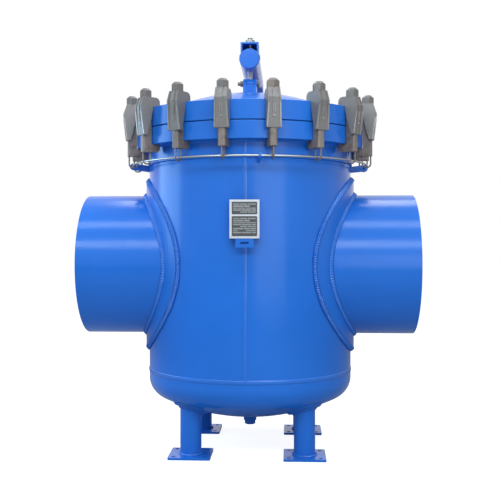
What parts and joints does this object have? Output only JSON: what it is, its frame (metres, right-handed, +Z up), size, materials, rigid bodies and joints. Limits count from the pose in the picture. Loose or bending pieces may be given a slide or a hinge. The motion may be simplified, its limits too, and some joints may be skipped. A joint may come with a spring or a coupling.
{
  "type": "basket strainer",
  "caption": "Fabricated pipeline basket strainer on pipe legs: straight-through nozzles, a dished lid held by clamps round its flange, a lid davit and a lift-out basket.",
  "frame": {"origin": "on the vessel's vertical axis, level with the foot plates' undersides", "axes": "+Z up, +X along the flow towards the outlet, -Y towards the name plate, +Y towards the davit's post"},
  "size_m": [1.43, 1.2049, 1.8086],
  "materials": {
    "blue_paint": "glossy industrial enamel on fabricated steel",
    "inner_paint": "flat oxide primer inside the vessel",
    "basket_steel": "pickled stainless sheet",
    "clamp_casting": "bare zinc-grey steel casting",
    "clamp_bolt_steel": "dull plated bolt steel",
    "plated_steel": "bright plated steel",
    "plate_metal": "satin sheet",
    "gasket_sheet": "black sheet"
  },
  "bodies": {
    "vessel": {"shell": "blue_paint", "bottom_head": "blue_paint", "body_flange": "blue_paint", "inlet_nozzle": "blue_paint", "outlet_nozzle": "blue_paint", "inlet_pad": "blue_paint", "outlet_pad": "blue_paint", "leg_pads": "blue_paint", "legs": "blue_paint", "foot_plates": "blue_paint", "drain_coupling": "blue_paint", "davit_socket": "blue_paint", "socket_brackets": "blue_paint", "ring_lugs": "blue_paint", "clamp_ring": "plated_steel", "clamp_hooks": "clamp_casting", "clamp_loops": "clamp_bolt_steel", "nameplate_bracket": "blue_paint", "nameplate": "plate_metal", "nameplate_rivets": "plate_metal", "seat_plate": "inner_paint", "gasket": "gasket_sheet"},
    "davit": {"davit_pipe": "blue_paint", "davit_cap": "blue_paint", "davit_saddle": "blue_paint", "jack_washer": "plated_steel"},
    "jack_nut": {"jack_nut": "plated_steel"},
    "lid": {"lid_flange": "blue_paint", "lid_dome": "blue_paint", "lid_lugs": "blue_paint", "lug_bolt": "plated_steel", "lug_nut": "plated_steel", "lifting_screw": "plated_steel", "clamp_jaws": "clamp_casting"},
    "basket": {"basket_rim": "basket_steel", "basket_cage": "basket_steel", "basket_screen": "basket_steel", "basket_floor": "basket_steel", "basket_crossbar": "basket_steel"},
    "bail": {"basket_bail": "basket_steel"},
    "drain_plug": {"drain_plug": "blue_paint"},
    "clamp_screw_01": {"clamp_screw_01": "clamp_bolt_steel"},
    "clamp_screw_02": {"clamp_screw_02": "clamp_bolt_steel"},
    "clamp_screw_03": {"clamp_screw_03": "clamp_bolt_steel"},
    "clamp_screw_04": {"clamp_screw_04": "clamp_bolt_steel"},
    "clamp_screw_05": {"clamp_screw_05": "clamp_bolt_steel"},
    "clamp_screw_06": {"clamp_screw_06": "clamp_bolt_steel"},
    "clamp_screw_07": {"clamp_screw_07": "clamp_bolt_steel"},
    "clamp_screw_08": {"clamp_screw_08": "clamp_bolt_steel"},
    "clamp_screw_09": {"clamp_screw_09": "clamp_bolt_steel"},
    "clamp_screw_10": {"clamp_screw_10": "clamp_bolt_steel"},
    "clamp_screw_11": {"clamp_screw_11": "clamp_bolt_steel"},
    "clamp_screw_12": {"clamp_screw_12": "clamp_bolt_steel"},
    "clamp_screw_13": {"clamp_screw_13": "clamp_bolt_steel"},
    "clamp_screw_14": {"clamp_screw_14": "clamp_bolt_steel"},
    "clamp_screw_15": {"clamp_screw_15": "clamp_bolt_steel"},
    "clamp_screw_16": {"clamp_screw_16": "clamp_bolt_steel"}
  },
  "joints": [
    {"name": "lid_and_davit_hoist", "type": "slide", "parent": "vessel", "child": "davit", "axis": [0, 0, 1], "range_m": [0, 1.1]},
    {"name": "lid_jack", "type": "slide", "parent": "davit", "child": "lid", "axis": [0, 0, 1], "range_m": [0, 0.03]},
    {"name": "jack_nut_turn", "type": "hinge", "parent": "davit", "child": "jack_nut", "pos_m": [0, 0, 1.789], "axis": [0, 0, -1], "range_deg": [0, 3601]},
    {"name": "basket_lift", "type": "slide", "parent": "vessel", "child": "basket", "axis": [0, 0, 1], "range_m": [0, 1.046]},
    {"name": "bail_swing", "type": "hinge", "parent": "basket", "child": "bail", "pos_m": [0, 0, 0.8541], "axis": [0, 1, 0], "range_deg": [0, 210]},
    {"name": "drain_plug_turn", "type": "hinge", "parent": "vessel", "child": "drain_plug", "pos_m": [0, 0, 0.1], "axis": [0, 0, 1], "continuous": true},
    {"name": "clamp_screw_01_turn", "type": "hinge", "parent": "lid", "child": "clamp_screw_01", "pos_m": [0.11142, -0.51253, 1.48], "axis": [0, 0, 1], "continuous": true},
    {"name": "clamp_screw_02_turn", "type": "hinge", "parent": "lid", "child": "clamp_screw_02", "pos_m": [0.29089, -0.43645, 1.48], "axis": [0, 0, 1], "continuous": true},
    {"name": "clamp_screw_03_turn", "type": "hinge", "parent": "lid", "child": "clamp_screw_03", "pos_m": [0.4315, -0.29817, 1.48], "axis": [0, 0, 1], "continuous": true},
    {"name": "clamp_screw_04_turn", "type": "hinge", "parent": "lid", "child": "clamp_screw_04", "pos_m": [0.51188, -0.11435, 1.48], "axis": [0, 0, 1], "continuous": true},
    {"name": "clamp_screw_05_turn", "type": "hinge", "parent": "lid", "child": "clamp_screw_05", "pos_m": [0.51668, 0.09025, 1.48], "axis": [0, 0, 1], "continuous": true},
    {"name": "clamp_screw_06_turn", "type": "hinge", "parent": "lid", "child": "clamp_screw_06", "pos_m": [0.4406, 0.28455, 1.48], "axis": [0, 0, 1], "continuous": true},
    {"name": "clamp_screw_07_turn", "type": "hinge", "parent": "lid", "child": "clamp_screw_07", "pos_m": [0.2919, 0.43577, 1.48], "axis": [0, 0, 1], "continuous": true},
    {"name": "clamp_screw_08_turn", "type": "hinge", "parent": "lid", "child": "clamp_screw_08", "pos_m": [0.0932, 0.51615, 1.48], "axis": [0, 0, 1], "continuous": true},
    {"name": "clamp_screw_09_turn", "type": "hinge", "parent": "lid", "child": "clamp_screw_09", "pos_m": [-0.12187, 0.51015, 1.48], "axis": [0, 0, 1], "continuous": true},
    {"name": "clamp_screw_10_turn", "type": "hinge", "parent": "lid", "child": "clamp_screw_10", "pos_m": [-0.31577, 0.41879, 1.48], "axis": [0, 0, 1], "continuous": true},
    {"name": "clamp_screw_11_turn", "type": "hinge", "parent": "lid", "child": "clamp_screw_11", "pos_m": [-0.4558, 0.25951, 1.48], "axis": [0, 0, 1], "continuous": true},
    {"name": "clamp_screw_12_turn", "type": "hinge", "parent": "lid", "child": "clamp_screw_12", "pos_m": [-0.52091, 0.06126, 1.48], "axis": [0, 0, 1], "continuous": true},
    {"name": "clamp_screw_13_turn", "type": "hinge", "parent": "lid", "child": "clamp_screw_13", "pos_m": [-0.5047, -0.14274, 1.48], "axis": [0, 0, 1], "continuous": true},
    {"name": "clamp_screw_14_turn", "type": "hinge", "parent": "lid", "child": "clamp_screw_14", "pos_m": [-0.41419, -0.32179, 1.48], "axis": [0, 0, 1], "continuous": true},
    {"name": "clamp_screw_15_turn", "type": "hinge", "parent": "lid", "child": "clamp_screw_15", "pos_m": [-0.26607, -0.452, 1.48], "axis": [0, 0, 1], "continuous": true},
    {"name": "clamp_screw_16_turn", "type": "hinge", "parent": "lid", "child": "clamp_screw_16", "pos_m": [-0.08264, -0.51795, 1.48], "axis": [0, 0, 1], "continuous": true}
  ],
  "couplings": [
    {"joint": "jack_nut_turn", "follows": "lid_jack", "rad_per_m": 2094.4},
    {"joint": "basket_lift", "follows": "lid_and_davit_hoist", "ratio": 0.95}
  ]
}
